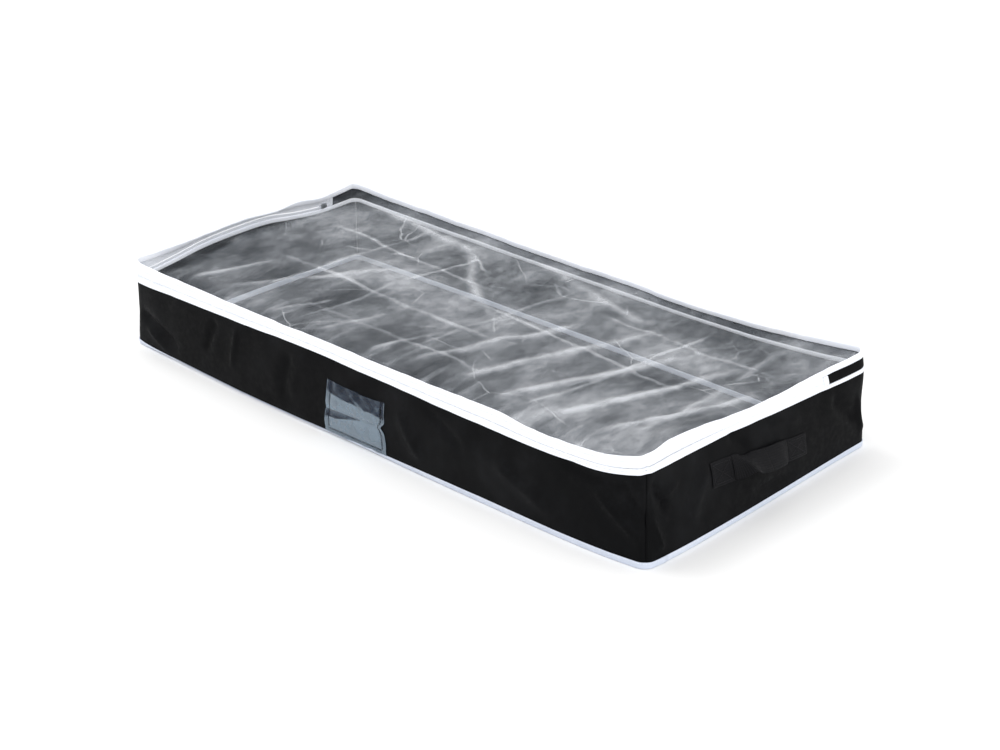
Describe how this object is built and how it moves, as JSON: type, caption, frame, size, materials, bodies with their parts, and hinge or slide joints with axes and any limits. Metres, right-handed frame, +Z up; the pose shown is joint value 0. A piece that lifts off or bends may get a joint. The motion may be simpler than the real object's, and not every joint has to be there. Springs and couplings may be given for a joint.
{
  "type": "under bed storage box",
  "caption": "Low rectangular fabric storage bag with a clear zip-round lid that folds back, a webbing handle on each short end and a clear label pocket on the long front wall.",
  "frame": {"origin": "centre of the bottom of the bounding box, on the floor under the middle of the bag", "axes": "+X along the long way towards the right end, -Y towards the front wall with the label pocket, +Z up"},
  "size_m": [1.0304, 0.45, 0.1362],
  "materials": {
    "black_fabric": "matt black non-woven fabric with a fine embossed grain",
    "white_binding": "white folded non-woven binding, stitched",
    "base_trim": "pale blue-grey white non-woven binding round the bottom edge",
    "zip_tape": "bright white woven zip tape",
    "zip_coil": "white nylon coil, slightly glossy",
    "black_webbing": "black woven webbing",
    "slider_metal": "grey metal slider, satin",
    "clear_film": "clear, slightly hazy glossy film with creases"
  },
  "bodies": {
    "bag": {"front_wall": "black_fabric", "right_wall": "black_fabric", "back_wall": "black_fabric", "left_wall": "black_fabric", "base_panel": "black_fabric", "hinge_strip_back": "black_fabric", "hinge_strip_left": "black_fabric", "hinge_strip_right": "black_fabric", "wall_binding_front": "white_binding", "wall_binding_right": "white_binding", "wall_binding_back": "white_binding", "wall_binding_left": "white_binding", "lid_binding_back": "white_binding", "lid_binding_right_rear": "white_binding", "lid_binding_left_rear": "white_binding", "base_binding_front": "base_trim", "base_binding_right": "base_trim", "base_binding_back": "base_trim", "base_binding_left": "base_trim", "zip_tape_lower_front": "zip_tape", "zip_tape_lower_right": "zip_tape", "zip_tape_lower_left": "zip_tape", "zip_tape_upper_left_rear": "zip_tape", "zip_tape_upper_right_rear": "zip_tape", "zip_end_tab_left": "zip_tape", "zip_end_tab_right": "zip_tape", "zip_coil_lower_front": "zip_coil", "zip_coil_lower_right": "zip_coil", "zip_coil_lower_left": "zip_coil", "zip_coil_upper_left_rear": "zip_coil", "zip_coil_upper_right_rear": "zip_coil", "handle_patch_left_front": "black_webbing", "handle_patch_left_rear": "black_webbing", "handle_patch_right_front": "black_webbing", "handle_patch_right_rear": "black_webbing", "lid_film_rear": "clear_film", "label_pocket": "clear_film"},
    "lid": {"lid_film": "clear_film", "lid_binding_front": "white_binding", "lid_binding_right": "white_binding", "lid_binding_left": "white_binding", "zip_tape_upper_front": "zip_tape", "zip_tape_upper_right": "zip_tape", "zip_tape_upper_left": "zip_tape", "zip_coil_upper_front": "zip_coil", "zip_coil_upper_right": "zip_coil", "zip_coil_upper_left": "zip_coil"},
    "zip_slider": {"zip_slider": "slider_metal"},
    "zip_pull": {"zip_pull": "slider_metal"},
    "handle_left": {"handle_strap_left": "black_webbing"},
    "handle_right": {"handle_strap_right": "black_webbing"}
  },
  "joints": [
    {"name": "lid_fold", "type": "hinge", "parent": "bag", "child": "lid", "pos_m": [0, 0.135, 0.1367], "axis": [-1, 0, 0], "range_deg": [0, 179]},
    {"name": "zip_slide", "type": "slide", "parent": "bag", "child": "zip_slider", "axis": [0, -1, 0], "range_m": [0, 0.355]},
    {"name": "pull_swing", "type": "hinge", "parent": "zip_slider", "child": "zip_pull", "pos_m": [-0.50245, 0.152, 0.1151], "axis": [0, 0, 1], "range_deg": [0, 175]},
    {"name": "handle_left_swing", "type": "hinge", "parent": "bag", "child": "handle_left", "pos_m": [-0.5006, 0, 0.078], "axis": [0, 1, 0], "range_deg": [0, 90]},
    {"name": "handle_right_swing", "type": "hinge", "parent": "bag", "child": "handle_right", "pos_m": [0.5006, 0, 0.078], "axis": [0, -1, 0], "range_deg": [0, 90]}
  ]
}
